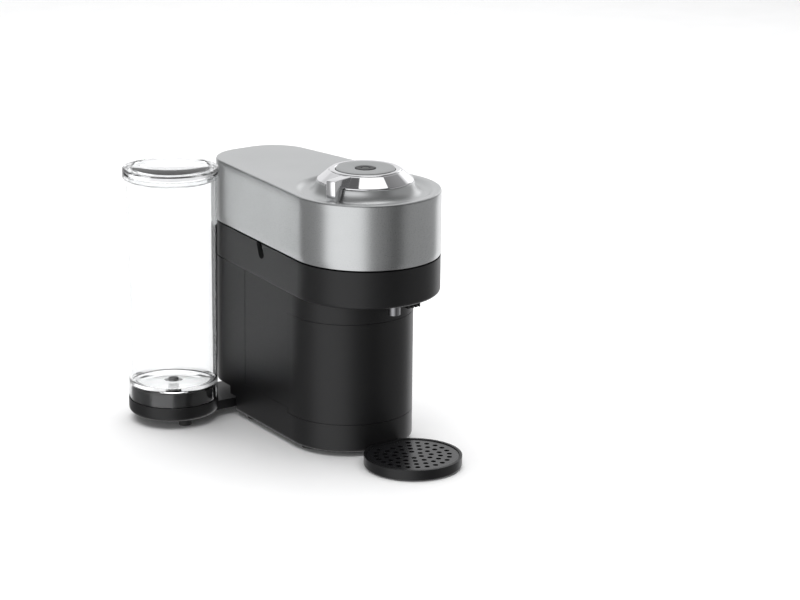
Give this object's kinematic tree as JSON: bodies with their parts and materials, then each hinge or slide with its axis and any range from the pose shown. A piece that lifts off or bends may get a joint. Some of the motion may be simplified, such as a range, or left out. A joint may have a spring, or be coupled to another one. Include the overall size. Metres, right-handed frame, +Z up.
{
  "type": "pod coffee machine",
  "caption": "Slim tabletop pod coffee machine with a hinged silver head, lever knob, side water tank on a swinging arm, capsule container and round drip tray.",
  "frame": {"origin": "underside of the middle rubber foot on the table, under the brewing axis", "axes": "+Z up along the brewing axis, -Y towards the drip tray and the user, +X to the machine's right-hand side"},
  "size_m": [0.2114, 0.3276, 0.2587],
  "materials": {
    "black_body": "satin",
    "black_gloss": "gloss",
    "silver_band": "satin metallic",
    "silver_cover": "fine satin metallic",
    "chrome": "polished",
    "brushed_disc": "brushed",
    "steel": "plain",
    "clear_tank": "clear",
    "rubber": "matte",
    "silicone": "translucent",
    "grey_plastic": "matte",
    "copper": "wound wire",
    "board": "lacquered",
    "light": "translucent"
  },
  "bodies": {
    "base": {"base_housing": "black_body", "rubber_feet": "rubber", "body_shell": "black_body", "chassis": "grey_plastic", "pivot_plate": "black_body", "pivot_washer": "steel", "body_screws": "steel", "cord_inlet": "rubber", "pump": "grey_plastic", "pump_mounts": "rubber", "flow_meter": "grey_plastic", "heater": "steel", "control_board": "board", "water_tubes": "silicone", "brew_deck": "black_body", "deck_screws": "steel", "collector_bowl": "grey_plastic", "coffee_spout": "chrome", "spout_guard": "black_body", "motor_can": "steel", "motor_stator": "copper", "hinge_bracket": "black_body", "hinge_pin": "steel"},
    "holder": {"motor_rotor": "steel", "drive_shaft": "steel", "capsule_holder": "steel"},
    "container": {"capsule_container": "black_body"},
    "tray": {"drip_tray": "black_body"},
    "grid": {"drip_grid": "black_gloss"},
    "arm": {"tank_arm": "black_body", "arm_glides": "rubber", "arm_hose": "silicone", "tank_dock": "black_body", "dock_probe": "grey_plastic", "dock_seal": "silicone"},
    "tank": {"water_tank": "clear_tank", "tank_valve": "grey_plastic"},
    "lid": {"tank_lid": "clear_tank"},
    "head": {"head_shell": "silver_band", "top_cover": "silver_cover", "head_frame": "black_body", "spindle_bearing": "steel", "head_hose": "silicone", "head_screws": "steel", "button_spring": "steel", "button_board": "board"},
    "clamp": {"needle_head": "steel", "water_needle": "steel"},
    "knob": {"knob_body": "chrome", "knob_ring": "chrome", "knob_face": "brushed_disc", "knob_spider": "grey_plastic", "lock_ring": "steel"},
    "button": {"brew_button": "black_gloss", "button_light": "light"}
  },
  "joints": [
    {"name": "arm_swing", "type": "hinge", "parent": "base", "child": "arm", "pos_m": [0, 0.16, 0.01], "axis": [0, 0, -1], "range_deg": [0, 172]},
    {"name": "tank_lift", "type": "slide", "parent": "arm", "child": "tank", "axis": [0, 0, 1], "range_m": [0, 0.017]},
    {"name": "lid_lift", "type": "slide", "parent": "tank", "child": "lid", "axis": [0, 0, 1], "range_m": [0, 0.008]},
    {"name": "head_open", "type": "hinge", "parent": "base", "child": "head", "pos_m": [0, 0.185, 0.186], "axis": [-1, 0, 0], "range_deg": [0, 42]},
    {"name": "lever_turn", "type": "hinge", "parent": "head", "child": "knob", "pos_m": [0, 0, 0.25], "axis": [0, 0, 1], "range_deg": [0, 58]},
    {"name": "button_press", "type": "slide", "parent": "head", "child": "button", "axis": [0, 0, -1], "range_m": [0, 0.0012], "stiffness_N_per_m": 900, "springref_m": -0.0006, "deforming": ["button_spring"]},
    {"name": "holder_spin", "type": "hinge", "parent": "base", "child": "holder", "pos_m": [0, 0, 0.15], "axis": [0, 0, 1], "continuous": true},
    {"name": "clamp_spin", "type": "hinge", "parent": "head", "child": "clamp", "pos_m": [0, 0, 0.19], "axis": [0, 0, 1], "continuous": true},
    {"name": "container_slide", "type": "slide", "parent": "base", "child": "container", "axis": [0, -1, 0], "range_m": [0, 0.09]},
    {"name": "tray_slide", "type": "slide", "parent": "base", "child": "tray", "axis": [0, -1, 0], "range_m": [0, 0.05]},
    {"name": "grid_lift", "type": "slide", "parent": "tray", "child": "grid", "axis": [0, 0, 1], "range_m": [0, 0.015]}
  ],
  "couplings": [
    {"joint": "clamp_spin", "follows": "holder_spin", "ratio": 1}
  ]
}
